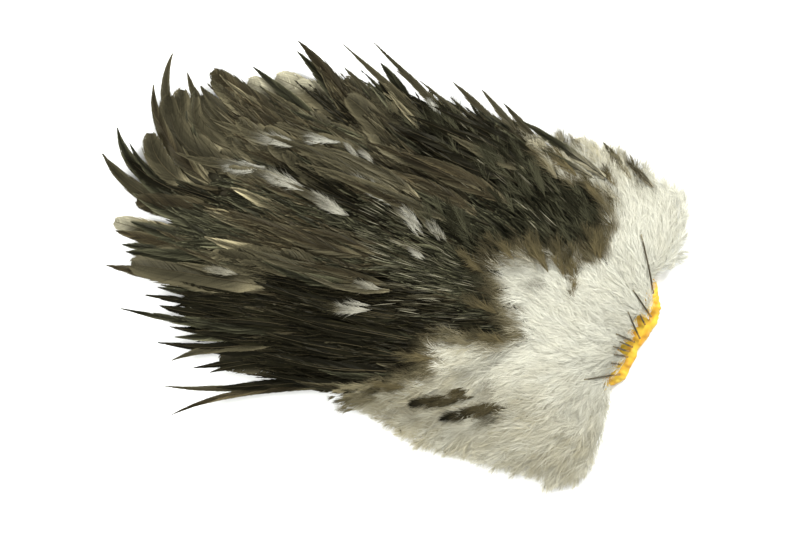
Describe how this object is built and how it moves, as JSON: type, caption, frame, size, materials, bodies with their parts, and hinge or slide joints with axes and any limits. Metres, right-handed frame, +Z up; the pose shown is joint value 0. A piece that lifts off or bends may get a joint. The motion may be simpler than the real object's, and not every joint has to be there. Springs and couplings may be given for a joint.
{
  "type": "rooster saddle hackle",
  "caption": "Flat-lying rooster saddle patch: dried skin, pale down, and long pointed dark hackle feathers in overlapping layers, with bare cut quills along the skin's front edge.",
  "frame": {"origin": "middle of the skin's flat underside", "axes": "+Z up off the table, -X along the feathers toward their tips, +X toward the skin's cut edge"},
  "size_m": [0.2101, 0.1502, 0.0176],
  "materials": {
    "skin": "dried yellow skin, waxy, lumpy at the cut edge",
    "down": "fluffy matte down, white to beige",
    "under_hackles": "soft taupe feather webs, low sheen",
    "upper_hackles": "satin near-black feather vanes with brown edges",
    "middle_hackles": "satin olive-brown feather vanes",
    "lower_hackles": "satin black-brown feather vanes",
    "quills": "horny grey-brown cut shafts"
  },
  "bodies": {
    "root": {"skin": "skin", "down": "down", "under_hackles": "under_hackles", "upper_hackle_01": "upper_hackles", "upper_hackle_02": "upper_hackles", "middle_hackle_01": "middle_hackles", "middle_hackle_02": "middle_hackles", "lower_hackle_01": "lower_hackles", "upper_hackle_03": "upper_hackles", "middle_hackle_03": "middle_hackles", "lower_hackle_02": "lower_hackles", "lower_hackle_03": "lower_hackles", "upper_hackle_04": "upper_hackles", "middle_hackle_04": "middle_hackles", "upper_hackle_05": "upper_hackles", "middle_hackle_05": "middle_hackles", "lower_hackle_04": "lower_hackles", "upper_hackle_06": "upper_hackles", "middle_hackle_06": "middle_hackles", "middle_hackle_07": "middle_hackles", "lower_hackle_05": "lower_hackles", "lower_hackle_06": "lower_hackles", "upper_hackle_07": "upper_hackles", "middle_hackle_08": "middle_hackles", "lower_hackle_07": "lower_hackles", "lower_hackle_08": "lower_hackles", "lower_hackle_09": "lower_hackles", "upper_hackle_08": "upper_hackles", "upper_hackle_09": "upper_hackles", "lower_hackle_10": "lower_hackles", "middle_hackle_09": "middle_hackles", "middle_hackle_10": "middle_hackles", "lower_hackle_11": "lower_hackles", "upper_hackle_10": "upper_hackles", "upper_hackle_11": "upper_hackles", "lower_hackle_12": "lower_hackles", "lower_hackle_13": "lower_hackles", "middle_hackle_11": "middle_hackles", "upper_hackle_12": "upper_hackles", "upper_hackle_13": "upper_hackles", "middle_hackle_12": "middle_hackles", "lower_hackle_14": "lower_hackles", "lower_hackle_15": "lower_hackles", "upper_hackle_14": "upper_hackles", "upper_hackle_15": "upper_hackles", "upper_hackle_16": "upper_hackles", "lower_hackle_16": "lower_hackles", "quill_01": "quills", "quill_02": "quills", "quill_03": "quills", "quill_04": "quills", "quill_05": "quills", "quill_06": "quills", "quill_07": "quills", "quill_08": "quills", "quill_09": "quills", "quill_10": "quills"}
  },
  "joints": []
}
